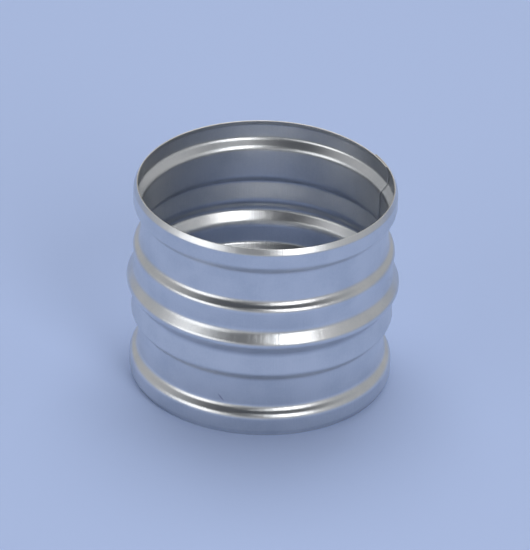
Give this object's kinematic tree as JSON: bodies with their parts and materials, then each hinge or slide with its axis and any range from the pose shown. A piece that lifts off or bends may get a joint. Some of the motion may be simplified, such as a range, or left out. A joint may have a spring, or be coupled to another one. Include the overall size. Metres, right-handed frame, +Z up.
{
  "type": "duct connector",
  "caption": "Short open sleeve of bright galvanised sheet that joins round ducts end to end, with rolled end collars, shoulder beads and a taller stop bead at mid-height.",
  "frame": {"origin": "on the sleeve's axis, at the level of the lower cut edge that it stands on", "axes": "+Z up along the sleeve's axis, out of its upper end; -Y is the side that faces the viewer, and the lapped seam is at +X, a little towards +Y"},
  "size_m": [0.1054, 0.1054, 0.0826],
  "materials": {
    "galvanised_steel": "bright zinc coating on rolled sheet, smooth and half mirror-like, with fine mill grain along the sleeve's axis"
  },
  "bodies": {
    "root": {"connector_sleeve": "galvanised_steel"}
  },
  "joints": []
}
